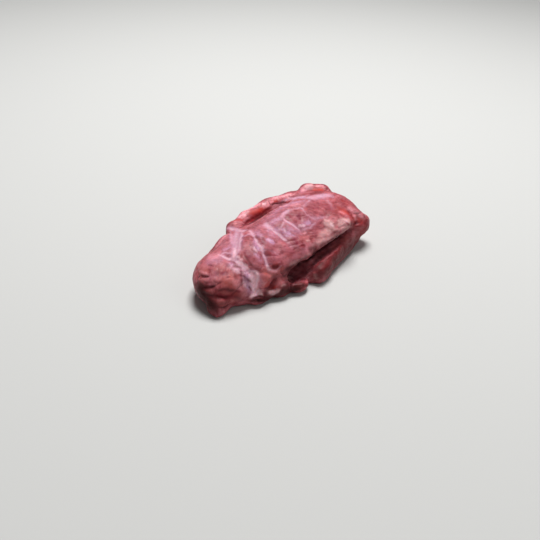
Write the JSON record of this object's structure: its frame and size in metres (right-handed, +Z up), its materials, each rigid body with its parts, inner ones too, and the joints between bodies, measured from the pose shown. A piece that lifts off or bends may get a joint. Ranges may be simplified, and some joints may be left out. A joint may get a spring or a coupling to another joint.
{
  "type": "pork cheek",
  "caption": "Raw trimmed pork cheek: a long, low loaf of dark red muscle with a rolled back edge and a flap under its front lip.",
  "frame": {"origin": "middle of the piece's box on the surface that it rests on", "axes": "+X along the piece from the rounded nose to the squared end, +Y to the rolled back edge, +Z up"},
  "size_m": [0.136, 0.072, 0.034],
  "materials": {
    "raw_meat": "wet raw muscle under thin silverskin"
  },
  "bodies": {
    "root": {"pork_cheek": "raw_meat"}
  },
  "joints": []
}
